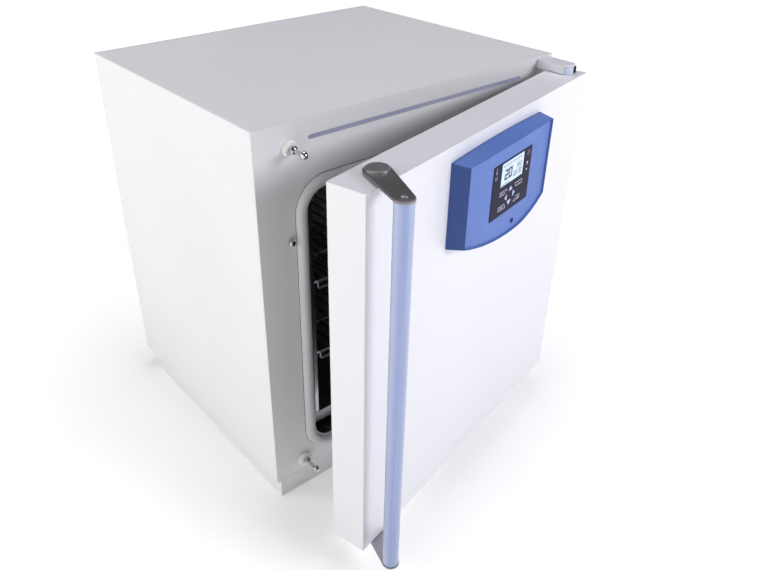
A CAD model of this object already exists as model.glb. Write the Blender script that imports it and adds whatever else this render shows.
import math
from math import sin, cos, radians, pi

import bmesh
import bpy
from mathutils import Matrix, Vector


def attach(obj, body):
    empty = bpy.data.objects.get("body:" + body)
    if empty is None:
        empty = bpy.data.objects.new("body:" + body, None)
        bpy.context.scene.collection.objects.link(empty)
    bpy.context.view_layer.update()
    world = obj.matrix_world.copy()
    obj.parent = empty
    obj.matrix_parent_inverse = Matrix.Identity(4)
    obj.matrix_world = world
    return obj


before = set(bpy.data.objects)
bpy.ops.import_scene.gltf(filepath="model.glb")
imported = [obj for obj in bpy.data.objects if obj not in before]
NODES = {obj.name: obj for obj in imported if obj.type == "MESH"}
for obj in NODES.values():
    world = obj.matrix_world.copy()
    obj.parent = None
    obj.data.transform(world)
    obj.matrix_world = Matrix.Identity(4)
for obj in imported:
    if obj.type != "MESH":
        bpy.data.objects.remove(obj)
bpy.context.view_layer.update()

scene = bpy.context.scene

# ---------------------------------------------------------------- shared geometry (metres)
HINGE = Vector((0.282, -0.314, 0.0))
TH = radians(13.0)
U = Vector((-cos(TH), -sin(TH), 0.0))
V = Vector((sin(TH), -cos(TH), 0.0))
DV1 = 22.5
BE = 27.0
OV_D = 3.3
V_OV = DV1 + BE - OV_D
V_FACE = V_OV + 0.8                 # front of the overlay
V_KEY = V_OV + 0.8 + 0.35           # front of the keys


def dp(x, z, v):
    """Point in door_front coordinates (mm, x towards the hinge) to the row frame (m)."""
    return HINGE + (U * (-x) + V * v + Vector((0, 0, z))) * 0.001


# ---------------------------------------------------------------- material helpers
def new_mat(name):
    m = bpy.data.materials.new(name)
    m.use_nodes = True
    nt = m.node_tree
    b = nt.nodes["Principled BSDF"]
    return m, nt, b


def node(nt, kind, **kw):
    n = nt.nodes.new(kind)
    for k, v in kw.items():
        if k in ("loc",):
            continue
        if hasattr(n, k) and not isinstance(v, tuple):
            setattr(n, k, v)
    return n


def noise(nt, scale, detail=4.0, rough=0.55, stretch=(1, 1, 1), vec=None, distort=0.0):
    tc = nt.nodes.new("ShaderNodeTexCoord")
    mp = nt.nodes.new("ShaderNodeMapping")
    mp.inputs["Scale"].default_value = stretch
    nt.links.new(tc.outputs["Object"] if vec is None else vec, mp.inputs["Vector"])
    n = nt.nodes.new("ShaderNodeTexNoise")
    n.inputs["Scale"].default_value = scale
    n.inputs["Detail"].default_value = detail
    n.inputs["Roughness"].default_value = rough
    n.inputs["Distortion"].default_value = distort
    nt.links.new(mp.outputs["Vector"], n.inputs["Vector"])
    return n


def remap(nt, src, lo, hi, a=0.35, b=0.65):
    r = nt.nodes.new("ShaderNodeMapRange")
    r.inputs["From Min"].default_value = a
    r.inputs["From Max"].default_value = b
    r.inputs["To Min"].default_value = lo
    r.inputs["To Max"].default_value = hi
    nt.links.new(src, r.inputs["Value"])
    return r.outputs["Result"]


def mix_col(nt, fac, c1, c2, mode="MIX"):
    m = nt.nodes.new("ShaderNodeMix")
    m.data_type = "RGBA"
    m.blend_type = mode
    if hasattr(fac, "is_linked") or hasattr(fac, "node"):
        nt.links.new(fac, m.inputs[0])
    else:
        m.inputs[0].default_value = fac
    for i, c in ((6, c1), (7, c2)):
        if isinstance(c, (tuple, list)):
            m.inputs[i].default_value = (*c[:3], 1.0)
        else:
            nt.links.new(c, m.inputs[i])
    return m.outputs[2]


def srgb(r, g, b):
    def f(c):
        c = c / 255.0
        return c / 12.92 if c <= 0.04045 else ((c + 0.055) / 1.055) ** 2.4
    return (f(r), f(g), f(b))


def edge_mask(nt, radius):
    """0 on flat faces, rising to 1 on edges narrower than the radius."""
    bev = nt.nodes.new("ShaderNodeBevel")
    bev.samples = 4
    bev.inputs["Radius"].default_value = radius
    geo = nt.nodes.new("ShaderNodeNewGeometry")
    dot = nt.nodes.new("ShaderNodeVectorMath")
    dot.operation = "DOT_PRODUCT"
    nt.links.new(bev.outputs["Normal"], dot.inputs[0])
    nt.links.new(geo.outputs["Normal"], dot.inputs[1])
    r = nt.nodes.new("ShaderNodeMapRange")
    r.inputs["From Min"].default_value = 0.999
    r.inputs["From Max"].default_value = 0.80
    nt.links.new(dot.outputs["Value"], r.inputs["Value"])
    return bev.outputs["Normal"], r.outputs["Result"]


def bump(nt, height, strength, distance, normal=None):
    b = nt.nodes.new("ShaderNodeBump")
    b.inputs["Strength"].default_value = strength
    b.inputs["Distance"].default_value = distance
    nt.links.new(height, b.inputs["Height"])
    if normal is not None:
        nt.links.new(normal, b.inputs["Normal"])
    return b.outputs["Normal"]


def painted(name, col, rough=(0.30, 0.40), coat=0.25, coat_rough=0.18, wear=(0.90, 0.90, 0.92), wear_amt=0.35,
            peel=0.05, bevel=0.0009, tint=None, spec=0.5):
    """Powder-coated sheet: fine orange peel, uneven gloss, faint handling marks and paler folded edges."""
    m, nt, b = new_mat(name)
    big = noise(nt, 3.1, 3.0, 0.5)
    mid = noise(nt, 38.0, 5.0, 0.6)
    fine = noise(nt, 900.0, 2.0, 0.5)
    c2 = tint or tuple(c * 0.965 for c in col)
    base = mix_col(nt, remap(nt, big.outputs["Fac"], 0.0, 1.0), col, c2)
    base = mix_col(nt, remap(nt, mid.outputs["Fac"], 0.0, 0.08, 0.58, 0.8), base, tuple(c * 0.92 for c in col))
    nrm, em = edge_mask(nt, bevel)
    mul = nt.nodes.new("ShaderNodeMath")
    mul.operation = "MULTIPLY"
    mul.inputs[1].default_value = wear_amt
    nt.links.new(em, mul.inputs[0])
    base = mix_col(nt, mul.outputs[0], base, wear)
    nt.links.new(base, b.inputs["Base Color"])
    r = remap(nt, big.outputs["Fac"], rough[0], rough[1], 0.3, 0.7)
    nt.links.new(r, b.inputs["Roughness"])
    n1 = bump(nt, fine.outputs["Fac"], peel, 0.0004, nrm)
    nt.links.new(n1, b.inputs["Normal"])
    b.inputs["Coat Weight"].default_value = coat
    b.inputs["Coat Roughness"].default_value = coat_rough
    b.inputs["Specular IOR Level"].default_value = spec
    return m


def brushed(name, col, rough=(0.22, 0.38), axis=0, scale=60.0, bumpk=0.10, bevel=0.0006, dark=0.82, coat=0.0, cloud_k=0.78):
    """Brushed or rolled sheet: streaks along one axis in colour, gloss and relief."""
    m, nt, b = new_mat(name)
    st = [240.0, 240.0, 240.0]
    st[axis] = 4.0
    streak = noise(nt, 8.0, 6.0, 0.7, stretch=tuple(s / 8.0 for s in st))
    cloud = noise(nt, 7.0, 4.0, 0.6)
    base = mix_col(nt, remap(nt, streak.outputs["Fac"], 0.0, 1.0), tuple(c * dark for c in col), col)
    base = mix_col(nt, remap(nt, cloud.outputs["Fac"], 0.0, 0.35), base, tuple(c * cloud_k for c in col))
    nrm, em = edge_mask(nt, bevel)
    base = mix_col(nt, em, base, tuple(min(1.0, c * 1.15) for c in col))
    nt.links.new(base, b.inputs["Base Color"])
    b.inputs["Metallic"].default_value = 1.0
    nt.links.new(remap(nt, streak.outputs["Fac"], rough[0], rough[1]), b.inputs["Roughness"])
    nt.links.new(bump(nt, streak.outputs["Fac"], bumpk, 0.0003, nrm), b.inputs["Normal"])
    b.inputs["Coat Weight"].default_value = coat
    b.inputs["Coat Roughness"].default_value = 0.28
    return m


def plastic(name, col, rough=(0.42, 0.55), grain=700.0, grain_k=0.12, coat=0.0, coat_rough=0.2, bevel=0.0008,
            edge=1.10, var=0.95, spec=0.5, mottled=None, skirt=None, glow=0.0):
    """Moulded plastic: eroded grain, slow colour drift, smoother rubbed edges."""
    m, nt, b = new_mat(name)
    big = noise(nt, 9.0, 3.0, 0.5)
    fine = noise(nt, grain, 3.0, 0.6)
    spots = noise(nt, 90.0, 5.0, 0.65)
    base = mix_col(nt, remap(nt, big.outputs["Fac"], 0.0, 1.0), col, mottled or tuple(c * var for c in col))
    nrm, em = edge_mask(nt, bevel)
    base = mix_col(nt, em, base, tuple(min(1.0, c * edge) for c in col))
    if skirt:
        # deeper tone on the walls that stand square to the door, and in the recesses
        tcn = nt.nodes.new("ShaderNodeTexCoord")
        dot = nt.nodes.new("ShaderNodeVectorMath")
        dot.operation = "DOT_PRODUCT"
        dot.inputs[1].default_value = tuple(U)
        nt.links.new(tcn.outputs["Normal"], dot.inputs[0])
        base = mix_col(nt, remap(nt, dot.outputs["Value"], 0.0, 1.0, 0.30, 0.95), base, skirt)
        ao = nt.nodes.new("ShaderNodeAmbientOcclusion")
        ao.samples = 6
        ao.inputs["Distance"].default_value = 0.0055
        base = mix_col(nt, remap(nt, ao.outputs["AO"], 1.0, 0.0, 0.50, 0.86), base, skirt)
    nt.links.new(base, b.inputs["Base Color"])
    if glow:
        nt.links.new(base, b.inputs["Emission Color"])
        b.inputs["Emission Strength"].default_value = glow
    nt.links.new(remap(nt, spots.outputs["Fac"], rough[0], rough[1]), b.inputs["Roughness"])
    nt.links.new(bump(nt, fine.outputs["Fac"], grain_k, 0.0003, nrm), b.inputs["Normal"])
    b.inputs["Coat Weight"].default_value = coat
    b.inputs["Coat Roughness"].default_value = coat_rough
    b.inputs["Specular IOR Level"].default_value = spec
    return m


def satin_metal(name, col, rough=(0.28, 0.38), metallic=0.7, edge=(0.7, 0.7, 0.72), bevel=0.0012, edge_k=0.8):
    """Bead-blasted casting: fine grain, slow tone drift, bright worn rims."""
    m, nt, b = new_mat(name)
    big = noise(nt, 26.0, 4.0, 0.6)
    grain = noise(nt, 1400.0, 3.0, 0.6)
    base = mix_col(nt, remap(nt, big.outputs["Fac"], 0.0, 1.0), tuple(c * 0.90 for c in col), col)
    base = mix_col(nt, remap(nt, grain.outputs["Fac"], 0.0, 0.25), base, tuple(c * 0.75 for c in col))
    tcd = nt.nodes.new("ShaderNodeTexCoord")
    sep = nt.nodes.new("ShaderNodeSeparateXYZ")
    nt.links.new(tcd.outputs["Object"], sep.inputs[0])
    base = mix_col(nt, remap(nt, sep.outputs["Z"], 0.0, 1.0, 0.6702, 0.6706), base, tuple(min(1.0, c * 1.45) for c in col))
    nrm, em = edge_mask(nt, bevel)
    mul = nt.nodes.new("ShaderNodeMath")
    mul.operation = "MULTIPLY"
    mul.inputs[1].default_value = edge_k
    nt.links.new(em, mul.inputs[0])
    base = mix_col(nt, mul.outputs[0], base, edge)
    nt.links.new(base, b.inputs["Base Color"])
    b.inputs["Metallic"].default_value = metallic
    nt.links.new(remap(nt, big.outputs["Fac"], rough[0], rough[1]), b.inputs["Roughness"])
    nt.links.new(bump(nt, grain.outputs["Fac"], 0.08, 0.0002, nrm), b.inputs["Normal"])
    return m


def anodised(name, col, deep, axis_dir, rough=(0.27, 0.33), coat=0.6):
    """Anodised extrusion: fine matt grain, faint draw lines and two soft deeper bands along the profile."""
    m, nt, b = new_mat(name)
    grain = noise(nt, 1500.0, 3.0, 0.6)
    draw = noise(nt, 8.0, 5.0, 0.6, stretch=(40.0, 40.0, 0.6))
    tcn = nt.nodes.new("ShaderNodeTexCoord")
    dot = nt.nodes.new("ShaderNodeVectorMath")
    dot.operation = "DOT_PRODUCT"
    dot.inputs[1].default_value = axis_dir
    nt.links.new(tcn.outputs["Normal"], dot.inputs[0])
    sq = nt.nodes.new("ShaderNodeMath")
    sq.operation = "MULTIPLY"
    nt.links.new(dot.outputs["Value"], sq.inputs[0])
    nt.links.new(dot.outputs["Value"], sq.inputs[1])
    base = mix_col(nt, remap(nt, sq.outputs[0], 0.0, 1.0, 0.15, 0.98), col, deep)
    base = mix_col(nt, remap(nt, draw.outputs["Fac"], 0.0, 0.5), base, tuple(c * 0.93 for c in col))
    nrm, em = edge_mask(nt, 0.0006)
    base = mix_col(nt, em, base, tuple(min(1.0, c * 1.3) for c in col))
    nt.links.new(base, b.inputs["Base Color"])
    b.inputs["Metallic"].default_value = 0.9
    nt.links.new(remap(nt, draw.outputs["Fac"], rough[0], rough[1]), b.inputs["Roughness"])
    nt.links.new(bump(nt, grain.outputs["Fac"], 0.05, 0.0002, nrm), b.inputs["Normal"])
    b.inputs["Coat Weight"].default_value = coat
    b.inputs["Coat Roughness"].default_value = 0.25
    return m


def polished(name, col, rough=(0.05, 0.14), scale=60.0, bevel=0.0003):
    m, nt, b = new_mat(name)
    sm = noise(nt, scale, 5.0, 0.6)
    base = mix_col(nt, remap(nt, sm.outputs["Fac"], 0.0, 1.0), col, tuple(c * 0.86 for c in col))
    nrm, em = edge_mask(nt, bevel)
    nt.links.new(base, b.inputs["Base Color"])
    b.inputs["Metallic"].default_value = 1.0
    nt.links.new(remap(nt, sm.outputs["Fac"], rough[0], rough[1]), b.inputs["Roughness"])
    nt.links.new(bump(nt, sm.outputs["Fac"], 0.02, 0.0002, nrm), b.inputs["Normal"])
    return m


def emissive(name, col, strength, var=0.92, rough=0.2):
    m, nt, b = new_mat(name)
    n = noise(nt, 120.0, 3.0, 0.5)
    base = mix_col(nt, remap(nt, n.outputs["Fac"], 0.0, 1.0), col, tuple(c * var for c in col))
    nt.links.new(base, b.inputs["Base Color"])
    nt.links.new(base, b.inputs["Emission Color"])
    b.inputs["Emission Strength"].default_value = strength
    b.inputs["Roughness"].default_value = rough
    return m


# ---------------------------------------------------------------- materials
WHITE = srgb(233, 233, 237)
M = {}
M["white"] = painted("paint_white", srgb(234, 234, 237), rough=(0.38, 0.46), coat=0.0, tint=srgb(231, 231, 235), bevel=0.0018)
M["white_door"] = painted("paint_white_door", srgb(235, 235, 240), rough=(0.34, 0.40), coat=0.12, coat_rough=0.10, tint=srgb(233, 233, 239), bevel=0.0014)
M["stainless"] = brushed("stainless_sheet", srgb(172, 172, 175), rough=(0.24, 0.40), axis=2)
M["stainless_wire"] = polished("stainless_wire", srgb(190, 190, 194), rough=(0.12, 0.26))
M["anodised"] = anodised("anodised_blue", srgb(172, 181, 210), srgb(138, 152, 194), (-0.50, -0.866, 0.0))
M["bracket"] = satin_metal("bracket_metal", srgb(140, 137, 139), rough=(0.28, 0.36), metallic=0.72, edge=srgb(226, 226, 230), bevel=0.0006, edge_k=0.45)
M["bracket_low"] = satin_metal("bracket_metal_low", srgb(176, 174, 182), rough=(0.30, 0.38), metallic=0.72, edge=srgb(226, 226, 230), bevel=0.0006, edge_k=0.45)
M["hinge_cover"] = painted("hinge_cover", srgb(226, 226, 232), rough=(0.36, 0.44), coat=0.0, tint=srgb(222, 222, 229))
M["chrome"] = polished("chrome", srgb(205, 205, 208), rough=(0.05, 0.12))
M["bezel"] = plastic("bezel_blue", srgb(89, 121, 194), rough=(0.40, 0.50), grain_k=0.06, coat=0.0, edge=1.10, mottled=srgb(86, 117, 190),
                     spec=0.35, skirt=srgb(55, 82, 146))
M["overlay"] = plastic("overlay_black", srgb(40, 37, 60), rough=(0.34, 0.42), grain=400.0, grain_k=0.02, coat=0.0, mottled=srgb(35, 32, 54), spec=0.05)
M["print_white"] = plastic("print_white", srgb(226, 226, 250), rough=(0.4, 0.5), grain_k=0.02, bevel=0.0001)
M["print_red"] = plastic("print_red", srgb(176, 110, 130), rough=(0.4, 0.5), grain_k=0.02, bevel=0.0001)
M["print_lilac"] = plastic("print_lilac", srgb(150, 150, 205), rough=(0.4, 0.5), grain_k=0.02, bevel=0.0001)
M["key_light"] = plastic("key_light", srgb(196, 200, 246), rough=(0.35, 0.45), grain_k=0.05, mottled=srgb(186, 190, 240))
M["lcd"] = emissive("lcd_back", srgb(196, 214, 240), 0.34)
M["lcd_ink"] = plastic("lcd_ink", srgb(12, 20, 48), rough=(0.3, 0.4), grain_k=0.0, bevel=0.0001)
M["lcd_soft"] = plastic("lcd_soft", srgb(84, 104, 146), rough=(0.3, 0.4), grain_k=0.0, bevel=0.0001)
M["seal"] = plastic("seal_grey", srgb(216, 217, 219), rough=(0.40, 0.52), grain=500.0, grain_k=0.04, mottled=srgb(210, 211, 214))
M["bush"] = plastic("bush_blue", srgb(204, 216, 240), rough=(0.30, 0.42), grain_k=0.05, mottled=srgb(198, 211, 237))
M["boss"] = plastic("boss_white", srgb(242, 242, 240), rough=(0.38, 0.5), grain_k=0.05)
M["wool"] = plastic("mineral_wool", srgb(116, 122, 140), rough=(0.85, 0.95), grain=260.0, grain_k=0.9, mottled=srgb(98, 104, 122))
M["wool_top"] = plastic("mineral_wool_top", srgb(168, 171, 190), rough=(0.85, 0.95), grain=260.0, grain_k=0.6, mottled=srgb(158, 161, 182), glow=0.42)
M["pcb"] = plastic("pcb_green", srgb(38, 88, 58), rough=(0.3, 0.45), grain_k=0.1)
M["black"] = plastic("black_plastic", srgb(30, 30, 33), rough=(0.38, 0.5), grain_k=0.15)
M["zinc"] = brushed("zinc_steel", srgb(168, 170, 176), rough=(0.30, 0.46), axis=0, dark=0.85)
M["heater"] = brushed("heater_steel", srgb(112, 106, 100), rough=(0.35, 0.5), axis=1, dark=0.7)
M["joint_dark"] = plastic("joint_dark", srgb(92, 92, 96), rough=(0.6, 0.7), grain_k=0.1, bevel=0.0001)
M["hole"] = plastic("dark_hole", srgb(24, 24, 26), rough=(0.6, 0.7), grain_k=0.1, bevel=0.0001)

ASSIGN = {
    "outer_casing": "white", "front_panel": "white", "back_panel": "white", "plinth": "white",
    "back_screws": "zinc", "base_plate": "zinc", "inner_chamber": "stainless", "chamber_seal": "seal",
    "insulation_top": "wool_top", "insulation_bottom": "wool", "insulation_sides": "wool", "insulation_rear": "wool",
    "floor_baffle": "stainless", "rear_baffle": "stainless", "rack_left": "stainless_wire", "rack_right": "stainless_wire",
    "shelf_upper": "stainless_wire", "shelf_lower": "stainless_wire", "fan_impeller": "stainless", "fan_shaft": "zinc",
    "fan_motor": "black", "motor_bracket": "zinc", "heater_elements": "heater", "temperature_probe": "stainless_wire",
    "exhaust_tube": "stainless", "exhaust_damper": "stainless", "damper_motor": "black", "mains_inlet": "black",
    "power_board": "pcb", "stud_bosses": "boss", "latch_studs": "chrome", "door_buffer_screw": "chrome",
    "hinge_arm_top": "hinge_cover", "hinge_arm_bottom": "hinge_cover", "hinge_pins": "zinc", "hinge_screws": "zinc",
    "door_outer_shell": "white_door", "door_inner_plate": "stainless", "door_insulation": "wool", "shaft_bushes": "boss",
    "hinge_bushes": "bush", "control_bezel": "bezel", "display_overlay": "overlay", "lcd_panel": "lcd",
    "control_pcb": "pcb", "service_plug": "bezel", "lever_shaft": "zinc", "handle_lever_top": "bracket",
    "handle_lever_bottom": "bracket_low", "handle_tube": "anodised", "handle_screws": "zinc", "latch_hooks": "zinc",
    "key_left_top": "overlay", "key_right_top": "overlay", "key_left_bottom": "overlay", "key_right_bottom": "overlay",
    "key_up": "key_light", "key_down": "key_light", "key_left": "key_light", "key_right": "key_light",
}
for n, ob in NODES.items():
    mt = M[ASSIGN[n]]
    ob.data.materials.clear()
    ob.data.materials.append(mt)


# ---------------------------------------------------------------- mesh pieces
def mesh_obj(name, verts, faces, mat, body, slot, smooth=False):
    me = bpy.data.meshes.new(name)
    me.from_pydata([tuple(v) for v in verts], [], faces)
    me.validate()
    me.update()
    ob = bpy.data.objects.new(name, me)
    scene.collection.objects.link(ob)
    me.materials.append(mat)
    if smooth:
        for p in me.polygons:
            p.use_smooth = True
    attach(ob, body)
    return ob


def prism(pts, v0, v1):
    """Closed prism from an outline in door_front coordinates (mm), between two distances from the hinge plane."""
    n = len(pts)
    verts = [dp(x, z, v0) for x, z in pts] + [dp(x, z, v1) for x, z in pts]
    faces = [list(range(n, 2 * n)), list(range(n - 1, -1, -1))]
    for i in range(n):
        j = (i + 1) % n
        faces.append([i, j, n + j, n + i])
    return verts, faces


def offset_poly(pts, d):
    """Inward offset of a convex outline given anticlockwise."""
    n = len(pts)
    out = []
    for i in range(n):
        p0, p1, p2 = Vector(pts[i - 1]), Vector(pts[i]), Vector(pts[(i + 1) % n])
        e1, e2 = (p1 - p0).normalized(), (p2 - p1).normalized()
        n1, n2 = Vector((-e1.y, e1.x)), Vector((-e2.y, e2.x))
        b = (n1 + n2)
        b = b / max(1e-6, b.dot(n1))
        out.append(tuple(p1 + b * d))
    return out


def frame_piece(pts, width, v0, v1):
    """A flat frame of the given line width inside an outline."""
    inner = offset_poly(pts, width)
    n = len(pts)
    verts, faces = [], []
    for v in (v0, v1):
        verts += [dp(x, z, v) for x, z in pts] + [dp(x, z, v) for x, z in inner]
    for i in range(n):
        j = (i + 1) % n
        faces.append([2 * n + i, 2 * n + j, 3 * n + j, 3 * n + i])
        faces.append([j, i, n + i, n + j])
        faces.append([i, j, 2 * n + j, 2 * n + i])
        faces.append([n + j, n + i, 3 * n + i, 3 * n + j])
    return verts, faces


def circle(cx, cz, r, n=24):
    return [(cx + r * cos(2 * pi * i / n), cz + r * sin(2 * pi * i / n)) for i in range(n)]


def stroke(pts, w):
    """Outline (list of quads as outlines) of a thin line through points."""
    out = []
    for a, b in zip(pts, pts[1:]):
        a, b = Vector(a), Vector(b)
        d = (b - a).normalized()
        nrm = Vector((-d.y, d.x)) * (w / 2)
        e = d * (w / 2)
        out.append([tuple(a - e - nrm), tuple(b + e - nrm), tuple(b + e + nrm), tuple(a - e + nrm)])
    return out


def joined(parts):
    verts, faces = [], []
    for v, f in parts:
        o = len(verts)
        verts += v
        faces += [[i + o for i in q] for q in f]
    return verts, faces


KEYS = {
    "key_left_top": (-289.0, 562.8, 24.0, 7.4),
    "key_right_top": (-243.6, 563.2, 24.0, 7.4),
    "key_up": (-266.7, 563.2, 12.0, 7.6),
    "key_right": (-254.6, 551.3, 7.0, 11.0),
    "key_left": (-279.9, 551.3, 7.0, 11.0),
    "key_down": (-268.6, 539.8, 12.0, 8.0),
    "key_left_bottom": (-290.3, 539.3, 23.4, 8.0),
    "key_right_bottom": (-245.0, 539.3, 21.0, 8.0),
}


def key_pts(nm, grow=0.0):
    x, z, w, h = KEYS[nm]
    w, h = w / 2 + grow, h / 2 + grow
    pts = {
        "key_left_top": [(-w, -h), (w * 0.20, -h), (w, h), (-w, h)],
        "key_right_top": [(-w * 0.60, -h), (w, -h), (w, h), (-w, h)],
        "key_left_bottom": [(-w, -h), (w, -h), (w * 0.60, h), (-w, h)],
        "key_right_bottom": [(-w, -h), (w, -h), (w, h), (-w * 0.20, h)],
    }.get(nm, [(-w, -h), (w, -h), (w, h), (-w, h)])
    return [(x + a, z + b) for a, b in pts]


# white outline and a small generic mark on each corner key
for k in ("key_left_top", "key_right_top", "key_left_bottom", "key_right_bottom"):
    o = frame_piece(offset_poly(key_pts(k), 0.3), 0.75, V_KEY - 0.01, V_KEY + 0.06)
    mesh_obj(k + "_outline", *o, M["print_white"], k + "_body", "key_light")
    x, z, w, h = KEYS[k]
    marks = []
    if k == "key_left_top":
        marks = stroke([(x - 9.0, z - 1.2), (x - 1.0, z - 1.2)], 0.45) + stroke([(x - 9.0, z + 0.9), (x + 2.0, z + 0.9)], 0.45)
    elif k == "key_right_top":
        marks = stroke([(x - 2.4, z - 1.3), (x + 6.0, z - 1.3), (x + 6.0, z + 1.2)], 0.45)
    elif k == "key_left_bottom":
        for q in (-6.0, -3.4, -0.8, 1.8):
            marks += stroke([(x + q, z - 1.7), (x + q, z + 1.7)], 0.7)
    else:
        marks = stroke([(x + 0.6, z - 1.8), (x + 6.6, z - 1.8), (x + 6.6, z + 1.8), (x + 3.0, z + 0.4)], 0.6)
    mesh_obj(k + "_mark", *joined([prism(q, V_KEY - 0.01, V_KEY + 0.05) for q in marks]), M["print_white"], k + "_body", "key_light")

# printed status marks on the overlay: drop and bar at the left, dial ring and two small marks at the right
vp0, vp1 = V_FACE - 0.01, V_FACE + 0.05
left = []
left += [circle(-316.2, 602.2, 2.1)]
left += stroke([(-316.2, 603.5), (-316.2, 609.4)], 1.7)
left += stroke([(-319.6, 595.6), (-313.2, 595.6)], 1.0)
left += stroke([(-319.6, 592.6), (-313.2, 592.6)], 1.0)
mesh_obj("mark_left", *joined([prism(q, vp0, vp1) for q in left]), M["print_lilac"], "door", "overlay_black")
ring = [frame_piece(circle(-218.4, 603.6, 4.0), 0.8, vp0, vp1)]
ring += [prism(q, vp0, vp1) for q in stroke([(-218.4, 603.6), (-218.4, 607.0)], 0.9)]
mesh_obj("mark_dial", *joined(ring), M["print_red"], "door", "overlay_black")
sm = [circle(-219.4, 588.4, 1.7), circle(-219.7, 577.4, 1.5)]
mesh_obj("mark_dots", *joined([prism(q, vp0, vp1) for q in sm] + [prism(q, vp0, vp1) for q in stroke([(-221.9, 585.4), (-217.2, 585.4)], 0.6)]),
         M["print_white"], "door", "overlay_black")

# display: large plain digits with small rows of marks round them
V_LCD = V_OV + 0.45
LX, LZ, LW, LH = -265.75, 592.0, 69.0, 37.0
l0, l1 = V_LCD - 0.01, V_LCD + 0.05
DIGIT = {
    "0": "abcdef", "1": "bc", "2": "abged", "3": "abgcd", "4": "fgbc", "5": "afgcd", "6": "afgedc", "7": "abc", "8": "abcdefg", "9": "abcdfg",
}


def seg_digit(ch, x, z, w, h, t):
    """Seven-segment digit, lower left corner at x, z."""
    g = t * 0.12
    segs = {
        "a": [(x + g, z + h), (x + w - g, z + h)], "d": [(x + g, z), (x + w - g, z)], "g": [(x + g, z + h / 2), (x + w - g, z + h / 2)],
        "f": [(x, z + h / 2 + g), (x, z + h - g)], "e": [(x, z + g), (x, z + h / 2 - g)],
        "b": [(x + w, z + h / 2 + g), (x + w, z + h - g)], "c": [(x + w, z + g), (x + w, z + h / 2 - g)],
    }
    out = []
    for s in DIGIT[ch]:
        out += stroke(segs[s], t)
    return out


big = seg_digit("2", LX - 22.4, LZ - 8.6, 7.4, 13.6, 3.4) + seg_digit("0", LX - 10.2, LZ - 8.6, 7.4, 13.6, 3.4)
mesh_obj("display_digits", *joined([prism(q, l0, l1) for q in big]), M["lcd_ink"], "door", "lcd")
small = []
for i, ch in enumerate("0030"):
    small += seg_digit(ch, LX + 4.4 + i * 6.4 + (1.4 if i > 1 else 0.0), LZ - 12.0, 3.6, 7.2, 1.2)
for i, ch in enumerate("180"):
    small += seg_digit(ch, LX + 9.6 + i * 6.4, LZ - 1.0, 3.6, 6.6, 1.1)
mesh_obj("display_small_digits", *joined([prism(q, l0, l1) for q in small]), M["lcd_ink"], "door", "lcd")
rows = []
rows += stroke([(LX - 31.0, LZ + 9.6), (LX + 31.0, LZ + 9.6)], 0.45)
for i in range(9):
    rows += stroke([(LX - 29.0 + i * 6.4, LZ + 13.2), (LX - 25.6 + i * 6.4, LZ + 13.2)], 1.7)
rows += stroke([(LX - 31.0, LZ - 15.6), (LX - 8.0, LZ - 15.6)], 1.1)
mesh_obj("display_rows", *joined([prism(q, l0, l1) for q in rows] + [frame_piece(circle(LX + 1.6, LZ + 5.6, 1.7, 16), 0.6, l0, l1)]),
         M["lcd_soft"], "door", "lcd")

# dark joint between the front panel and the silicone ring
def rounded_ring(hw, hh, r, width, zc, y0, y1, n=10):
    def loop(g):
        pts = []
        for cx, cz, a0 in ((hw - r, hh - r, 0), (-(hw - r), hh - r, 90), (-(hw - r), -(hh - r), 180), (hw - r, -(hh - r), 270)):
            for k in range(n + 1):
                a = radians(a0 + 90.0 * k / n)
                pts.append((cx + (r + g) * cos(a), zc + cz + (r + g) * sin(a)))
        return pts
    a, b = loop(width), loop(0.0)
    m = len(a)
    verts = []
    for y in (y0, y1):
        verts += [Vector((x, y, z)) * 0.001 for x, z in a] + [Vector((x, y, z)) * 0.001 for x, z in b]
    faces = []
    for i in range(m):
        j = (i + 1) % m
        faces.append([i, j, m + j, m + i])
        faces.append([2 * m + j, 2 * m + i, 3 * m + i, 3 * m + j])
        faces.append([j, i, 2 * m + i, 2 * m + j])
        faces.append([m + i, m + j, 3 * m + j, 3 * m + i])
    return verts, faces


mesh_obj("seal_joint", *rounded_ring(224.0 + 21.5, 242.0 + 21.5, 34.0 + 21.5, 0.9, 332.0, -259.15, -258.9), M["joint_dark"], "cabinet", "painted_white")


def turned(name, centre, axis, profile, mat, body, slot, n=32):
    """Solid of revolution: profile is (distance along the axis, radius) in mm."""
    ax = Vector(axis).normalized()
    a = ax.orthogonal().normalized()
    c = ax.cross(a)
    verts, faces = [], []
    for t, r in profile:
        for k in range(n):
            an = 2 * pi * k / n
            verts.append(Vector(centre) + (ax * t + (a * cos(an) + c * sin(an)) * r) * 0.001)
    for i in range(len(profile) - 1):
        for k in range(n):
            l = (k + 1) % n
            faces.append([i * n + k, i * n + l, (i + 1) * n + l, (i + 1) * n + k])
    faces.append([k for k in range(n)][::-1])
    faces.append([(len(profile) - 1) * n + k for k in range(n)])
    return mesh_obj(name, verts, faces, mat, body, slot)


# black rubber stop under the top plate of the upper hinge arm, clear of the bush and of the door's top
turned("hinge_stop", (0.282 + 0.0092, -0.314 - 0.0073, 0.6771), (0.0, 0.0, -1.0), [(0.0, 2.2), (8.0, 2.2), (8.4, 2.35), (11.0, 2.35), (11.5, 1.8), (11.7, 0.6)],
       M["black"], "cabinet", "bush_blue", n=24)

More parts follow.
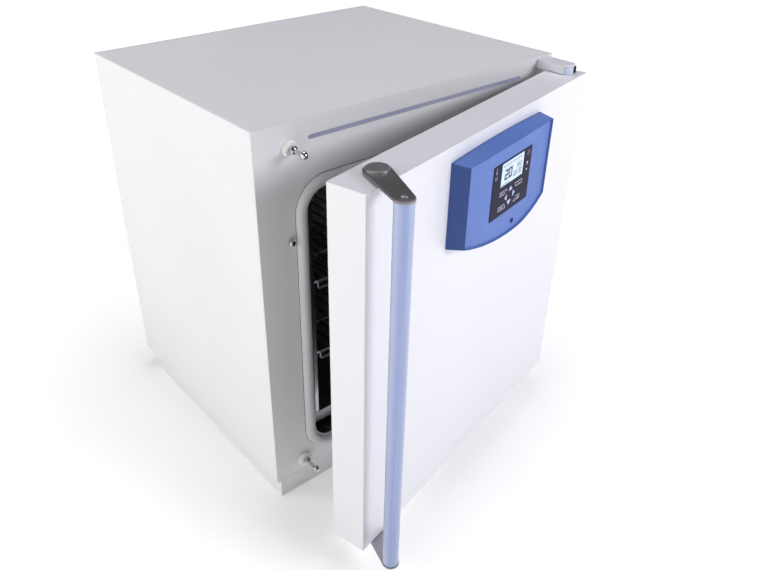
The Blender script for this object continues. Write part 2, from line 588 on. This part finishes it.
# ---------------------------------------------------------------- floor, light, camera
floor_me = bpy.data.meshes.new("floor")
S = 16.0
floor_me.from_pydata([(-S, -S, 0), (S, -S, 0), (S, S, 0), (-S, S, 0)], [], [(0, 1, 2, 3)])
floor = bpy.data.objects.new("floor", floor_me)
floor.location = (0, 0, -0.0004)
scene.collection.objects.link(floor)
fm, nt, b = new_mat("pale_floor")
n = noise(nt, 2.0, 3.0)
nt.links.new(mix_col(nt, remap(nt, n.outputs["Fac"], 0, 1), (0.95, 0.95, 0.955), (0.93, 0.93, 0.94)), b.inputs["Base Color"])
b.inputs["Roughness"].default_value = 0.75
b.inputs["Specular IOR Level"].default_value = 0.2
b.inputs["Emission Color"].default_value = (1, 0.995, 0.96, 1)
tcf = nt.nodes.new("ShaderNodeTexCoord")
ln = nt.nodes.new("ShaderNodeVectorMath")
ln.operation = "LENGTH"
nt.links.new(tcf.outputs["Object"], ln.inputs[0])
far = nt.nodes.new("ShaderNodeMapRange")
far.inputs["From Min"].default_value = 0.0
far.inputs["From Max"].default_value = 5.0
nt.links.new(ln.outputs["Value"], far.inputs["Value"])
glow = nt.nodes.new("ShaderNodeValToRGB")
el = glow.color_ramp.elements
el[0].position, el[0].color = 0.08, (0.25, 0.25, 0.25, 1)
el[1].position, el[1].color = 1.0, (0.95, 0.95, 0.95, 1)
for pos, val in ((0.125, 0.34), (0.20, 0.41), (0.32, 0.50), (0.48, 0.64), (0.70, 0.86)):
    e = el.new(pos)
    e.color = (val, val, val, 1)
nt.links.new(far.outputs["Result"], glow.inputs["Fac"])
nt.links.new(glow.outputs["Color"], b.inputs["Emission Strength"])
floor_me.materials.append(fm)

world = bpy.data.worlds.new("studio")
scene.world = world
world.use_nodes = True
wn = world.node_tree
bg = wn.nodes["Background"]
tc = wn.nodes.new("ShaderNodeTexCoord")
sx = wn.nodes.new("ShaderNodeSeparateXYZ")
wn.links.new(tc.outputs["Generated"], sx.inputs[0])
cr = wn.nodes.new("ShaderNodeValToRGB")
cr.color_ramp.elements[0].position = 0.0
cr.color_ramp.elements[0].color = (0.80, 0.80, 0.82, 1)
cr.color_ramp.elements[1].position = 1.0
cr.color_ramp.elements[1].color = (0.95, 0.95, 1.0, 1)
wn.links.new(sx.outputs["Z"], cr.inputs[0])
wn.links.new(cr.outputs[0], bg.inputs["Color"])
bg.inputs["Strength"].default_value = 0.05


def area(name, loc, target, size, power, col=(1, 1, 1), size_y=None, spread=180):
    li = bpy.data.lights.new(name, "AREA")
    li.shape = "RECTANGLE"
    li.size = size
    li.size_y = size_y or size
    li.energy = power
    li.color = col
    li.spread = radians(spread)
    ob = bpy.data.objects.new(name, li)
    ob.location = loc
    d = Vector(target) - Vector(loc)
    ob.rotation_euler = d.to_track_quat("-Z", "Y").to_euler()
    scene.collection.objects.link(ob)
    return ob


area("key_left", (-3.2, -0.6, 1.5), (-0.2, -0.1, 0.35), 2.0, 25.4, (1.0, 1.0, 0.96))
area("left_rear", (-3.0, 1.6, 1.8), (0.0, 0.0, 0.4), 1.6, 36.5, (1.0, 1.0, 0.98))
area("left_front", (-2.6, -2.2, 1.8), (0.0, -0.2, 0.4), 1.4, 7.0, (1.0, 0.98, 0.92))
area("top_soft", (0.3, 0.3, 3.0), (0.0, 0.0, 0.4), 2.0, 34.0, (0.962, 0.945, 1.0))
area("front_high", (1.25, -2.9, 2.0), (0.0, -0.3, 0.4), 1.4, 22.4, (0.912, 0.916, 1.0), size_y=0.5)
area("front_low", (1.25, -2.9, 1.5), (0.0, -0.3, 0.4), 1.4, 31.5, (0.973, 0.970, 1.0), size_y=0.5)
area("back_fill", (0.6, 3.2, 0.55), (0.0, 0.2, 0.35), 1.8, 12.0, (0.98, 0.98, 1.0), size_y=0.9)
area("right_fill", (3.2, 0.6, 0.55), (0.2, 0.0, 0.35), 1.8, 12.0, (0.98, 0.98, 1.0), size_y=0.9)

cam = bpy.data.cameras.new("camera")
cam.sensor_fit = "HORIZONTAL"
cam.sensor_width = 36.0
cam.lens = 34.9518520839414
cam.shift_x = 0.04000499457
cam.shift_y = -0.00339168327
cam.clip_start = 0.02
cam.clip_end = 100
cob = bpy.data.objects.new("camera", cam)
right = Vector((0.7811400051450099, -0.6243421351965017, -0.004146152472695563))
up = Vector((0.3317361787226112, 0.409404634324706, 0.8499052612614967))
back = Vector((-0.5289342114938052, -0.6652704289322698, 0.5269192123083952))
pos = Vector((-0.78152856, -1.05808031, 1.02253487))
cob.matrix_world = Matrix(((right.x, up.x, back.x, pos.x), (right.y, up.y, back.y, pos.y), (right.z, up.z, back.z, pos.z), (0, 0, 0, 1)))
scene.collection.objects.link(cob)
scene.camera = cob

scene.view_settings.view_transform = "Standard"
scene.view_settings.look = "None"
scene.view_settings.exposure = 0.0
